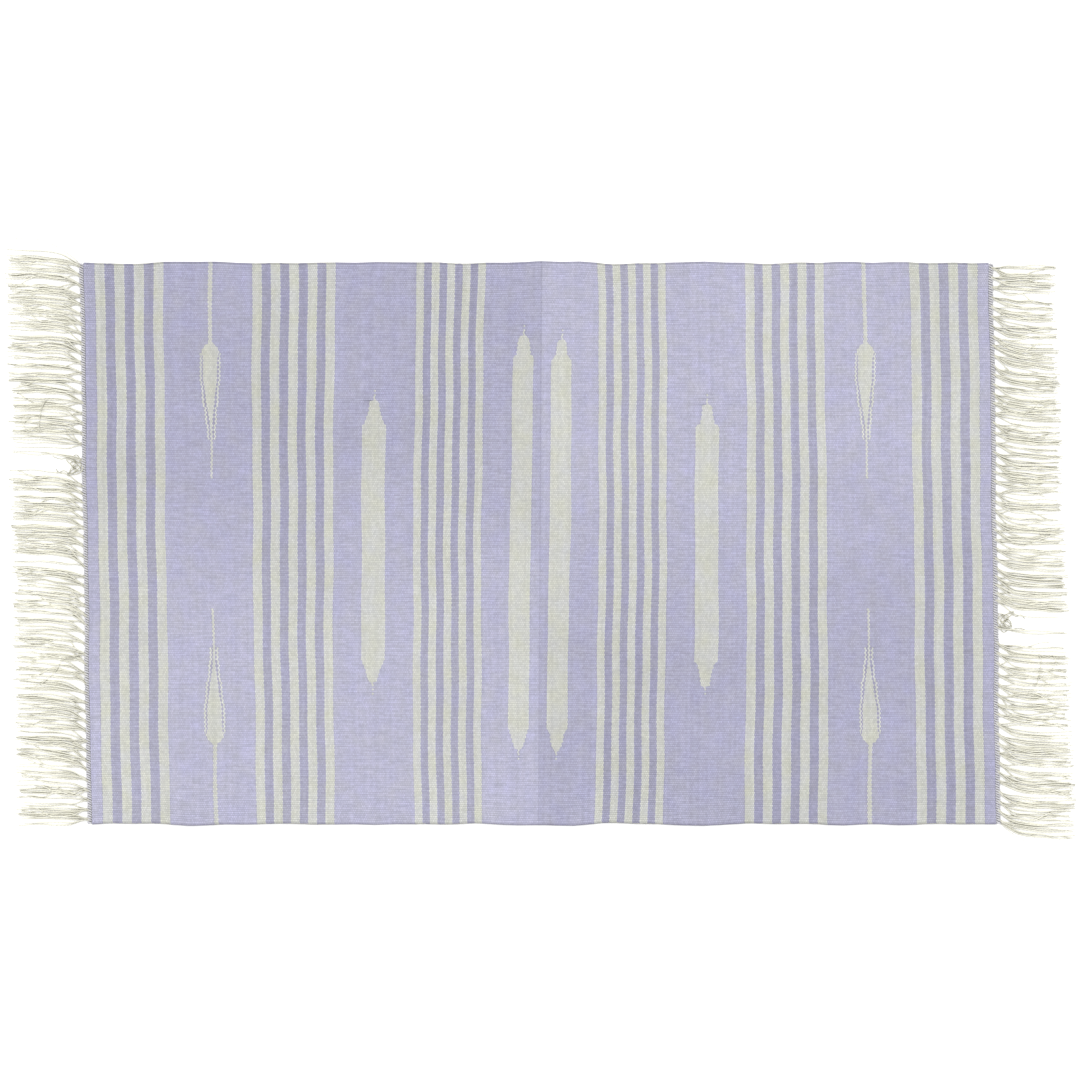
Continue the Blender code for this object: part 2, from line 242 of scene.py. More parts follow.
def plyYarn(name, hexCode, shadeHex, hollowShadeHex, twists, shut=(0.3, 0.78), rootShade=1.0):
    material, tree, shader = newMaterial(
        name,
        {"Roughness": 0.9, "Specular IOR Level": 0.2, "Sheen Weight": 0.25, "Sheen Roughness": 0.5},
    )
    ownMap = addNode(tree, "UVMap", {"uv_map": "UVMap"}).outputs[0]
    along = addNode(tree, "SeparateXYZ", {}, {0: ownMap}).outputs
    turns = calculate(tree, "MULTIPLY", along["X"], float(twists))
    phase = calculate(tree, "MULTIPLY_ADD", along["Y"], ply["count"], turns)
    groove = calculate(tree, "SINE", calculate(tree, "MULTIPLY", phase, 2 * math.pi))
    depth = ramp(tree, groove, *ply["groove"], 0.0, 1.0)
    place = addNode(tree, "TexCoord", {}).outputs["Object"]
    patch = addNode(tree, "TexNoise", {"Scale": ply["patchRate"], "Detail": 2.0}, {"Vector": place})
    yarn = tint(tree, "MIX", patch.outputs["Fac"], linear(hexCode), linear(shadeHex))
    # Painted shade in the grooves between the plies
    grooveShaded = tint(tree, "MULTIPLY", ply["grooveShade"], yarn, depth)
    # Painted shade at the root, where the yarns pack tight
    lit = tint(tree, "MULTIPLY", 1.0, grooveShaded, ramp(tree, along["X"], *ply["root"], rootShade, 1.0))
    # Painted shade: where the yarn is shut in by others, its colour turns to the shade colour
    hollow = addNode(tree, "AmbientOcclusion", {"samples": 6, "Distance": ply["hollow"]})
    openShare = ramp(tree, hollow.outputs["AO"], *shut, 0.0, 1.0)
    colour = tint(tree, "MIX", openShare, linear(hollowShadeHex), lit)
    tree.links.new(colour, shader.inputs["Base Color"])
    bump = addNode(tree, "Bump", {"Strength": 0.5, "Distance": ply["grooveDepth"]}, {"Height": depth})
    tree.links.new(bump.outputs[0], shader.inputs["Normal"])
    return material


lavenderWeft = wovenCotton(
    "combed_cotton_weft_lavender",
    "#b4b3c4",
    "#b3b2cd",
    0.085,
    ([0.925, 0.925, 0.945, 1.0], [1.065, 1.065, 1.055, 1.0]),
    weave["seamLightAndShade"]["ground"],
    (firstStripe - 0.0009, 0.0018),
)
creamWeft = wovenCotton(
    "combed_cotton_weft_cream",
    "#cbccc0",
    "#cbcccc",
    0.035,
    (grey(0.965), grey(1.03)),
    weave["seamLightAndShade"]["pattern"],
)
# the third colour of each yarn is its painted shade in the hollows between yarns
warpYarn = plyYarn("undyed_cotton_warp_yarn", "#fffdf0", "#eeecd8", "#716e5a", 19, (0.40, 0.87), 0.76)
headerYarn = plyYarn("undyed_cotton_twining_cord", "#d9d8db", "#bebdc4", "#3e3c3c", 60, (0.20, 0.56))
tiedYarn = plyYarn("undyed_cotton_tied_ends", "#e6e4d4", "#bfbda8", "#5f5c4a", 60, (0.35, 0.85))
carriedYarn = plyYarn("undyed_cotton_carried_weft", "#c8c6ba", "#b5b3a8", "#77756a", 30)
print("materials made")

# cloth

cloth = {
    "rowShares": (0.0, 0.3, 0.7),  # of a rib: its valley, then both sides of its crest
    "halfThick": 0.0013,
    "valley": 0.36,  # share of the half thickness lost between two ribs
    "slub": 0.05,  # share of the half thickness that a yarn varies by
    "selvedgeHalf": 0.0004,
    "pickOffset": 0.0002,  # how far a colour edge steps from one rib to the next
    "pickWander": 0.0001,
    "shrink": 0.0047,  # share that the mat lies shorter than its woven size
    "lean": (-0.000954, 0.002544),  # m that a band leans at the back edge, and its change towards the ends
    "leanTurn": (0.235, 0.06),  # where along X the lean turns over, and how gently
    "pinch": 0.00264,  # the bands draw in at both long edges
    "calm": 0.02,  # m beside the fold where nothing waves
    "drift": ((0.0004, 23, 31, 0.0), (0.0003, -41, 67, 1.3)),  # waves, as planeWaves takes them
    "edgeSwell": 0.0004,
    "edgeDip": 0.0013,  # in the groups of stripes
    "edgeWaves": ((0.0005, 52, 0, 0.7),),
    "edgeRipple": 0.0004,
    "edgeDent": (0.142, 0.006, 0.0012),  # where along X, how wide and how deep
    "lift": (0.00012, ((1.0, 29, 13, 0.0), (1.0, 17, -41, 2.0))),  # off the floor, between two hollows
    "crease": (0.0008, 0.003),  # height and width of the ridge along the fold
    "longCrease": (0.00018, 0.008),
    "groupBlur": 0.004,
    "stripeInset": 0.00035,
    "endInset": 0.0015,  # the twined header covers the last picks
}
rowCount = weave["ribs"] * 3
rowY = [-halfWidth + ribPitch * (row // 3 + cloth["rowShares"][row % 3]) for row in range(rowCount)]
rowY.append(halfWidth)
stripeEdges = [(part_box(f"stripe_{n:02d}")[0].x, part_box(f"stripe_{n:02d}")[1].x) for n in range(1, 29)]
groupSizes = (4, 5, 5, 5, 5, 4)
groupEnds = []
for size in groupSizes:
    first = sum(groupSizes[: len(groupEnds)])
    groupEnds.append((stripeEdges[first][0], stripeEdges[first + size - 1][1]))


def inGroups(x):  # 1 in a group of stripes, 0 in a field, with soft ends
    share, blur = np.zeros_like(x), cloth["groupBlur"]
    for low, high in groupEnds:
        share += 1 / (1 + np.exp(-(x - low) / blur)) - 1 / (1 + np.exp(-(x - high) / blur))
    return share


def planeWaves(waves, x, y):  # each wave: its height, its rates along X and Y, and its start
    return sum(height * np.sin(rateX * x + rateY * y + start) for height, rateX, rateY, start in waves)


def settle(flatPoints):  # where each point of the flat cloth lies: it leans, bows and waves a little
    x, y, side = flatPoints[:, 0], flatPoints[:, 1], flatPoints[:, 2]
    across = y / halfWidth
    outwards = np.abs(x)
    turnX, turnReach = cloth["leanTurn"]
    lean = cloth["lean"][0] - cloth["lean"][1] * np.tanh((outwards - turnX) / turnReach)
    pinch = -np.sign(x) * cloth["pinch"] * (1 - (x / halfLength) ** 2) * np.tanh(outwards / 0.03)
    calm = np.clip(outwards / cloth["calm"], 0, 1)
    drift = planeWaves(cloth["drift"], x, y) * calm
    newX = x * (1 - cloth["shrink"]) + lean * across + pinch * across**2 + drift

    dentX, dentReach, dentDepth = cloth["edgeDent"]  # one at the back of the right half, one opposite
    edgeWave = cloth["edgeSwell"] - cloth["edgeDip"] * inGroups(x) + planeWaves(cloth["edgeWaves"], x, y)
    edgeWave += cloth["edgeRipple"] * np.sin(113 * x * (1 + 0.1 * across) + 2.1 * across)
    edgeWave -= dentDepth * np.exp(-(((x - dentX * np.sign(across)) / dentReach) ** 2))
    newY = y + np.sign(y) * edgeWave * np.abs(across) ** 8

    phase = ((y + halfWidth) / ribPitch) % 1.0
    phase = np.where(phase > 0.999, 0.0, phase)
    crest = 1 - np.abs(2 * phase - 1) ** 3
    rib = np.floor((y + halfWidth) / ribPitch + 0.001)
    slub = cloth["slub"] * np.sin(rib * 2.4 + 9 * np.sin(rib * 0.7)) * np.sin(61 * x + rib * 1.7)
    half = cloth["halfThick"] * (1 - cloth["valley"] * (1 - crest) + slub * crest)
    half = np.where(np.abs(across) > 0.9999, cloth["selvedgeHalf"], half)

    liftStep, liftWaves = cloth["lift"]
    lift = liftStep * (2 + planeWaves(liftWaves, x, y)) * calm
    lift += cloth["crease"][0] * np.exp(-outwards / cloth["crease"][1])
    lift += cloth["longCrease"][0] * np.exp(-((y / cloth["longCrease"][1]) ** 2)) * calm
    return np.stack([newX, newY, cloth["halfThick"] * 1.04 + lift + side * half], axis=1)


def settlePoint(x, y, z=0.0):  # one point that lies on the cloth, z above its middle
    moved = settle(np.array([[x, y, 0.0]]))[0]
    return Vector((moved[0], moved[1], moved[2] + z))


def evenRib(row):
    return 1 if (row // 3) % 2 == 0 else -1


def straight(x):
    return lambda row: x


def pickEdge(x, seed):  # a colour edge, which steps by half a pick from rib to rib
    draw = random.Random(seed)
    wander = [draw.uniform(-1, 1) * cloth["pickWander"] for _ in range(weave["ribs"] + 1)]

    def line(row):
        step = 0 if row % 3 == 0 else evenRib(row) * cloth["pickOffset"]
        return x + step + wander[row // 3]

    return line


def between(first, second, share):
    return lambda row: first(row) * (1 - share) + second(row) * share


def addStrip(mesh, lines, belongs=None, rows=(0, rowCount)):
    first, last = rows
    columns, count = len(lines) - 1, last - first
    made = bmesh.ops.create_grid(
        mesh,
        x_segments=columns,
        y_segments=count,
        size=0.5,
        matrix=Matrix.Translation((columns / 2, count / 2, 0)) @ Matrix.Diagonal((columns, count, 1, 1)),
    )["verts"]
    if belongs:
        unwanted = []
        for face in {face for vertex in made for face in vertex.link_faces}:
            centre = face.calc_center_median()
            if not belongs(int(centre.x), int(centre.y) + first):
                unwanted.append(face)
        bmesh.ops.delete(mesh, geom=unwanted, context="FACES")
        made = [vertex for vertex in made if vertex.is_valid]
    for vertex in made:
        row = round(vertex.co.y) + first
        vertex.co = (lines[round(vertex.co.x)](row), rowY[row], 0)


def seamDistances(points, onWall):  # how far each point lies from the colour edge nearest it on its rib
    distances = np.full(len(points), 1.0)
    rows = np.round(points[:, 1] / ribPitch * 100).astype(int)
    order = np.argsort(rows, kind="stable")
    for group in np.split(order, np.nonzero(np.diff(rows[order]))[0] + 1):
        walls = points[group[onWall[group]], 0]
        walls = walls[np.abs(walls) < halfLength - 2 * cloth["endInset"]]
        if len(walls):
            distances[group] = np.abs(points[group, 0][:, None] - walls[None, :]).min(axis=1)
    return distances


def clothPiece(name, strips, material):  # the piece, and the area of its flat cloth
    mesh = bmesh.new()
    for strip in strips:
        addStrip(mesh, *strip)
    flatArea = sum(face.calc_area() for face in mesh.faces)
    bmesh.ops.solidify(mesh, geom=mesh.faces[:], thickness=0.001)  # settle gives the real thickness
    bmesh.ops.recalc_face_normals(mesh, faces=mesh.faces[:])
    onWall = np.zeros(len(mesh.verts), bool)
    mesh.verts.index_update()
    for face in mesh.faces:  # a colour edge is crisp, and the selvedge is round
        if abs(face.normal.x) > 0.3:
            for edge in face.edges:
                edge.smooth = False
            for vertex in face.verts:
                onWall[vertex.index] = True
    data = bpy.data.meshes.new(name)
    mesh.to_mesh(data)
    mesh.free()
    points = np.zeros(len(data.vertices) * 3)
    data.vertices.foreach_get("co", points)
    points = points.reshape(-1, 3)
    corners = np.zeros(len(data.loops), np.int32)
    data.loops.foreach_get("vertex_index", corners)
    flatMap = data.uv_layers.new(name="flatCloth")
    flatMap.data.foreach_set("uv", points[corners, :2].ravel())
    seams = data.attributes.new("seamDistance", "FLOAT", "POINT")
    seams.data.foreach_set("value", seamDistances(points, onWall))
    middle = (points[:, 2].max() + points[:, 2].min()) / 2
    points[:, 2] = np.where(points[:, 2] > middle, 1.0, -1.0)
    data.vertices.foreach_set("co", settle(points).ravel())
    data.polygons.foreach_set("use_smooth", np.ones(len(data.polygons), bool))
    data.update()
    data.materials.append(material)
    piece = bpy.data.objects.new(name, data)
    scene.collection.objects.link(piece)
    return piece, flatArea


def ribOf(row):
    return min(row // 3, weave["ribs"] - 1)


def ribHalfWidths(widthAt, step=0.0004):  # half width of an inlay on each rib, in whole steps
    found = []
    for rib in range(weave["ribs"]):
        y = -halfWidth + (rib + 0.5) * ribPitch
        found.append(round(widthAt(y) / 2 / step) * step)
    return found


def besideAxis(axis, halves, sign, zig=0.0002, lean=0.0):  # a line at an inlay's half width from its axis
    def line(row):
        rib = ribOf(row)
        middle = axis + lean * rowY[row] / halfWidth
        if row % 3 == 0:
            return middle + sign * (halves[rib] + halves[max(rib - 1, 0)]) / 2
        return middle + sign * halves[rib] + evenRib(row) * zig

    return line


def curveThrough(pairs, at):  # straight lines between (distance, value) pairs
    for (a, first), (b, second) in zip(pairs, pairs[1:]):
        if at <= b:
            return first + (second - first) * max(0.0, at - a) / (b - a)
    return pairs[-1][1]


def barEnd(shoulder, distances, shares):  # how a bar narrows: shares of its width at mm past its shoulder
    return shoulder, [(distance / 1000, share) for distance, share in zip(distances, shares)]


bars = {
    "centre_bar_left": {
        "back": barEnd(0.1770, (0, 0.6, 1.6, 6.5, 13, 16.5, 20.5), (1.0, 0.84, 0.70, 0.63, 0.57, 0.50, 0.26)),
        "front": barEnd(0.1735, (0, 5.5, 11.5, 15.5, 19, 22), (0.98, 0.82, 0.65, 0.54, 0.42, 0.26)),
        "lean": 0.0022,
    },
    "centre_bar_right": {
        "back": barEnd(0.1722, (0, 2, 5, 8, 12, 16, 20, 21.5), (1.0, 0.92, 0.62, 0.5, 0.5, 0.46, 0.38, 0.22)),
        "front": barEnd(0.1740, (0, 4, 6, 13.5, 19, 22), (1.0, 0.85, 0.66, 0.58, 0.42, 0.24)),
        "lean": 0.0022,
    },
    "side_bar_left": {
        "back": barEnd(0.1110, (0, 1.5, 3, 8, 13, 19, 24), (1.0, 0.90, 0.78, 0.66, 0.50, 0.42, 0.36)),
        "front": barEnd(0.1085, (0, 4.6, 10, 14.5, 20.5, 23.5), (1.0, 0.88, 0.65, 0.54, 0.40, 0.26)),
        "lean": 0.0,
    },
    "side_bar_right": {
        "back": barEnd(0.1110, (0, 1, 2.5, 10, 16, 21), (1.0, 0.80, 0.60, 0.48, 0.42, 0.36)),
        "front": barEnd(0.1130, (0, 0.8, 7, 11.5, 17, 22), (1.0, 0.72, 0.57, 0.48, 0.42, 0.38)),
        "lean": 0.0,
    },
    "spike": 0.011,  # the thread past the point: on each rib, then on one rib in two
    "spikeWidth": 0.0014,
    "pointZig": 0.0004,  # how far a narrowing edge goes in and out from rib to rib
    "plainPast": 0.0004,  # m past the shoulder where an edge starts to narrow
    "tip": 0.002,
}
teardrop = {
    "neck": 0.1900,  # from the middle of the mat
    "inwards": 0.0024,
    "tail": ((0, 0.0034), (0.076, 0.0042)),
    "core": (
        *((0, 0.0036), (0.002, 0.0094), (0.0045, 0.0134), (0.0075, 0.0166), (0.0098, 0.0172)),
        *((0.0125, 0.0144), (0.016, 0.0138), (0.034, 0.0134), (0.041, 0.0118), (0.046, 0.0100)),
        *((0.050, 0.0088), (0.058, 0.0076), (0.062, 0.0058), (0.068, 0.0046), (0.074, 0.0028)),
        (0.080, 0.0021),
    ),
    "end": 0.129,
    "outline": (
        *((0, 0.0088), (0.036, 0.0090), (0.042, 0.0075), (0.058, 0.0068), (0.062, 0.0050)),
        *((0.075, 0.0045), (0.079, 0.0033), (0.096, 0.0032)),
    ),
    "outlineStart": 0.0098,
    "outlineEnd": 0.092,
    "dot": 0.0008,  # half a bead
    "zig": 0.0005,  # the two picks of the outline show on ribs by turns
    "coreZig": 0.0004,
    "gap": 0.0007,  # the least lavender between the core and its outline
    "thinnest": 0.0006,  # the least width of the outline
}


def ribMiddle(row):
    return -halfWidth + (ribOf(row) + 0.5) * ribPitch


def barPlan(node):  # the lines that bound a bar, and which of its ribs are cream
    low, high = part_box(node)
    plan = bars[node]
    axis, width = (low.x + high.x) / 2, high.x - low.x

    def endOf(y):
        return plan["back" if y > 0 else "front"]

    def widthAt(y):
        shoulder, shape = endOf(y)
        past = abs(y) - shoulder
        if past <= 0:
            return width
        return width * curveThrough(shape, past) if past < shape[-1][0] else bars["spikeWidth"]

    halves = ribHalfWidths(widthAt)

    def pastShoulder(row):  # how far past it a rib is, and how far past it the point is
        y = ribMiddle(row)
        shoulder, shape = endOf(y)
        return abs(y) - shoulder, shape[-1][0]

    def cream(row):
        past, point = pastShoulder(row)
        everyRib, anyRib = point + bars["spike"] / 3, point + bars["spike"]
        return past < everyRib or (past < anyRib and ribOf(row) % 2 == 0)

    def side(sign):
        plain = besideAxis(axis, halves, sign, lean=plan["lean"])
        pointed = besideAxis(axis, halves, sign, sign * bars["pointZig"], plan["lean"])
        spiked = besideAxis(axis, halves, sign, bars["pointZig"], plan["lean"])

        def line(row):
            past, point = pastShoulder(row)
            if past < bars["plainPast"]:
                return plain(row)
            return (pointed if past < point - bars["tip"] else spiked)(row)

        return line

    return side(-1), side(1), cream


def teardropPlan(node):
    low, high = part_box(node)
    middle = (low.x + high.x) / 2
    axis = middle - math.copysign(teardrop["inwards"], middle)

    def coreWidth(y):
        past = teardrop["neck"] - abs(y)
        return curveThrough(teardrop["tail"], -past) if past < 0 else curveThrough(teardrop["core"], past)

    def outlineWidth(y):
        return 2 * curveThrough(teardrop["outline"], max(0.0, teardrop["neck"] - abs(y)))

    zig, dot = teardrop["zig"], teardrop["dot"]
    core = ribHalfWidths(coreWidth, 0.0002)
    outline = ribHalfWidths(outlineWidth, 0.0002)
    outline = [half + (zig if rib % 2 else -zig) for rib, half in enumerate(outline)]
    inner = [max(half - dot, coreHalf + teardrop["gap"]) for half, coreHalf in zip(outline, core)]
    outer = [max(half + dot, innerHalf + teardrop["thinnest"]) for half, innerHalf in zip(outline, inner)]
    coreZig = teardrop["coreZig"]
    edges = ((outer, -1, 0), (inner, -1, 0), (core, -1, coreZig), (core, 0, coreZig))
    edges += ((core, 1, coreZig), (inner, 1, 0), (outer, 1, 0))

    def cream(column, row):  # columns 0 and 5 are the outline, 2 and 3 the core
        past = teardrop["neck"] - abs(ribMiddle(row))
        if column in (0, 5):
            return teardrop["outlineStart"] < past < teardrop["outlineEnd"]
        return column in (2, 3) and past < teardrop["end"]

    return [besideAxis(axis, *edge) for edge in edges], cream


def buildHalf(sideName, sign):
    numbers = range(1, 15) if sign < 0 else range(28, 14, -1)  # from the end to the fold
    stripes, groundStrips, inlays = [], [], []
    for n in numbers:
        low, high = stripeEdges[n - 1]
        low, high = low + cloth["stripeInset"], high - cloth["stripeInset"]
        outer, inner = (low, high) if sign < 0 else (high, low)
        stripes.append((n, pickEdge(outer, n), pickEdge(inner, n + 100)))

    def fix(lines):  # puts lines given from the end to the fold in order from left to right
        return lines if sign < 0 else list(reversed(lines))

    at = 0
    end = straight(sign * (halfLength - cloth["endInset"]))
    for groupNumber, size in enumerate(groupSizes[:3]):
        start = stripes[at][1]
        if groupNumber == 0:
            groundStrips.append((fix([end, between(end, start, 0.5), start]),))
        else:
            if groupNumber == 1:
                lines, cream = teardropPlan(f"teardrop_back_{sideName}")
                pieceNames = (f"teardrop_back_{sideName}", f"teardrop_front_{sideName}")
            else:
                left, right, barCream = barPlan(f"side_bar_{sideName}")
                lines = [left, between(left, right, 0.5), right]
                pieceNames = (f"side_bar_{sideName}",)

                def cream(_, row, plan=barCream):
                    return plan(row)

            low, high = fix([stripes[at - 1][2], start])
            full = [low, between(low, lines[0], 0.5), *lines, between(lines[-1], high, 0.5), high]

            def ground(column, row, plan=cream, inside=len(lines) - 1):
                return not (2 <= column < 2 + inside and plan(column - 2, row))

            groundStrips.append((full, ground))
            inlays.append((lines, cream, pieceNames))
        for (_, _, low), (_, high, _) in zip(stripes[at : at + size - 1], stripes[at + 1 : at + size]):
            groundStrips.append((fix([low, high]),))
        at += size

    left, right, barCream = barPlan(f"centre_bar_{sideName}")
    outer, inner = (left, right) if sign < 0 else (right, left)
    last, middle = stripes[-1][2], between(outer, inner, 0.5)
    full = [last, between(last, outer, 0.5), outer, middle, inner]
    full += [straight(sign * x) for x in (0.0055, 0.0032, 0.0020, 0.0010, 0.0)]  # close together at the fold line
    barColumns = (2, 3) if sign < 0 else (5, 6)
    groundStrips.append((fix(full), lambda column, row: not (column in barColumns and barCream(row))))
    inlays.append((fix([outer, middle, inner]), lambda _, row: barCream(row), (f"centre_bar_{sideName}",)))
    ground, area = clothPiece(f"ground_{sideName}", groundStrips, lavenderWeft)
    inlaid = []
    for lines, cream, names in inlays:
        for name in names:
            sideOfMat = {"back": 1, "front": -1}.get(name.split("_")[1], 0)

            def mine(column, row, plan=cream, want=sideOfMat):
                return plan(column, row) and want * ribMiddle(row) >= 0

            inlaid.append((name, clothPiece(name + "_inlay", [(lines, mine)], creamWeft)[0]))
    banded = []
    for n, outer, inner in stripes:
        lines = fix([outer, between(outer, inner, 0.5), inner])
        banded.append((f"stripe_{n:02d}", clothPiece(f"stripe_{n:02d}_weft", [(lines,)], creamWeft)[0]))
    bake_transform(ground)
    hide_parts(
        f"ground_weft_{sideName}",
        f"warp_sheet_{sideName}",
        f"selvedge_cord_back_{sideName}",
        f"selvedge_cord_front_{sideName}",
    )
    for node, piece in inlaid + banded:
        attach(piece, f"{sideName}_half")
        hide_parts(node)
    return ground, area, [piece for _, piece in inlaid + banded]


for sideName, sign in (("left", -1), ("right", 1)):
    buildHalf(sideName, sign)

# yarns


def yarnPiece(name, paths, radius, material):  # paths hold points, each with a share of the radius
    data = bpy.data.curves.new(name + "_line", "CURVE")
    data.dimensions = "3D"
    data.bevel_depth = radius
    data.bevel_resolution = 1  # six sides
    data.use_fill_caps = True
    for path in paths:
        spline = data.splines.new("POLY")
        spline.points.add(len(path) - 1)
        for point, (place, share) in zip(spline.points, path):
            point.co = (*place, 1)
            point.radius = share
    holder = bpy.data.objects.new(name + "_line", data)
    made = bpy.data.meshes.new_from_object(holder)
    bpy.data.objects.remove(holder)
    mesh = bmesh.new()
    mesh.from_mesh(made)
    bmesh.ops.remove_doubles(mesh, verts=mesh.verts[:], dist=1e-6)
    bmesh.ops.recalc_face_normals(mesh, faces=mesh.faces[:])
    mesh.to_mesh(made)
    mesh.free()
    made.name = name
    made.materials.clear()
    made.materials.append(material)
    piece = bpy.data.objects.new(name, made)
    scene.collection.objects.link(piece)
    return piece


header = {
    "yarnRadius": 0.00085,
    "halfAcross": 0.00185,  # the cord lies flattened
    "halfHigh": 0.00060,
    "twist": 0.0046,  # m of cord for one turn
    "steps": 9,  # to a turn
    "height": 0.00155,
    "beyond": 0.0007,  # its middle, past the last pick
    "slack": 0.12,  # share that a ply stands off by turns
    "uneven": 0.05,  # share that its thickness varies
}
for sideName, sign in (("left", -1), ("right", 1)):
    low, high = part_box(f"header_twining_{sideName}")
    plies = [[], []]
    turns = (high.y - low.y) / header["twist"]
    for step in range(int(turns * header["steps"]) + 1):
        y = low.y + step * header["twist"] / header["steps"]
        angle = 2 * math.pi * step / header["steps"]
        middle = settlePoint(sign * halfLength, y)
        for ply in (0, 1):
            turn = angle + ply * math.pi
            slack = 1 + header["slack"] * math.sin(step * 0.61 + ply * 2)
            place = (
                middle.x + sign * header["beyond"] + header["halfAcross"] * slack * math.cos(turn),
                y,
                header["height"] + header["halfHigh"] * math.sin(turn),
            )
            plies[ply].append((place, 1 + header["uneven"] * math.sin(step * 1.3)))
    cord = yarnPiece(f"header_cord_{sideName}", plies, header["yarnRadius"], headerYarn)
    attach(cord, f"{sideName}_half")
    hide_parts(f"header_twining_{sideName}")
print("headers twined")

knot = {
    "points": 220,
    "yarnRadius": 0.00046,
    "centre": (0.0078, 0.0060),  # from the header's middle, and from the CAD knot towards the front
    "reach": (0.0080, 0.0078),
    "rings": (5, 4, 9),  # turns of the tangle: along, across and up
    "swell": (0.60, 0.40),  # share of the reach, and how far it swells three times round
    "heights": (0.0017, 0.0011),
    "endHeights": (0.0011, 0.0004),
    "ends": (  # the loose ends, from the centre: outwards, sideways
        ((-0.004, -0.003), (0.004, -0.006), (0.010, -0.003), (0.015, -0.0045), (0.018, -0.001)),
        ((-0.003, 0.002), (0.001, 0.007), (0.007, 0.009), (0.013, 0.008), (0.021, 0.0105)),
        ((-0.005, 0.004), (-0.004, 0.010), (-0.001, 0.012), (0.002, 0.009), (-0.003, 0.005)),
    ),
}


def smoothLine(points, parts):  # a smooth curve through a few points
    ends = [points[0], *points, points[-1]]
    line = []
    for before, first, second, after in zip(ends, ends[1:], ends[2:], ends[3:]):
        for part in range(parts):
            t = part / parts
            line.append(
                tuple(
                    0.5 * (2 * b + (c - a) * t + (2 * a - 5 * b + 4 * c - d) * t * t)
                    + 0.5 * (3 * b - a - 3 * c + d) * t**3
                    for a, b, c, d in zip(before, first, second, after)
                )
            )
    return line + [points[-1]]


for sideName, sign in (("left", -1), ("right", 1)):
    low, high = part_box(f"twining_knot_{sideName}")
    centreX = sign * (headerX + knot["centre"][0])
    centreY = (low.y + high.y) / 2 + sign * knot["centre"][1]
    draw = random.Random(41 + sign)
    ringsX, ringsY, ringsZ = knot["rings"]
    path = []
    for step in range(knot["points"]):
        t = 2 * math.pi * step / (knot["points"] - 1)
        swell = knot["swell"][0] + knot["swell"][1] * math.sin(3 * t + 1)
        place = (
            centreX + knot["reach"][0] * swell * math.sin(ringsX * t + 0.4),
            centreY + knot["reach"][1] * swell * math.sin(ringsY * t + sign),
            knot["heights"][0] + knot["heights"][1] * math.sin(ringsZ * t),
        )
        path.append((place, draw.uniform(0.85, 1.15)))
    threads = [path]
    lowest, rise = knot["endHeights"]
    for end in knot["ends"]:
        line = [
            (centreX + sign * out, centreY - sign * up, lowest + rise * (i % 3))
            for i, (out, up) in enumerate(smoothLine(end, 6))
        ]
        threads.append([(place, 0.9) for place in line])
    tangle = yarnPiece(f"tied_knot_{sideName}", threads, knot["yarnRadius"], tiedYarn)
    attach(tangle, f"{sideName}_half")
    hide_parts(f"twining_knot_{sideName}")
print("knots tied")

carried = {"radius": 0.00045, "inset": 0.0007, "above": 0.0008, "steps": 24, "short": 0.002}
for number, (low, high) in enumerate(groupEnds, 1):
    for edgeName, edge in (("back", 1), ("front", -1)):
        draw = random.Random(number * 10 + edge)
        path = []
        for step in range(carried["steps"] + 1):
            x = low + carried["short"] + (high - low - 2 * carried["short"]) * step / carried["steps"]
            y = edge * (halfWidth - carried["inset"] + draw.uniform(-0.0002, 0.0002))
            path.append((settlePoint(x, y, carried["above"] + draw.uniform(-0.0001, 0.0001)), 1.0))
        line = yarnPiece(f"carried_weft_{edgeName}_{number}", [path], carried["radius"], carriedYarn)
        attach(line, "left_half" if high < 0 else "right_half")
print("carried wefts laid")

# fringe

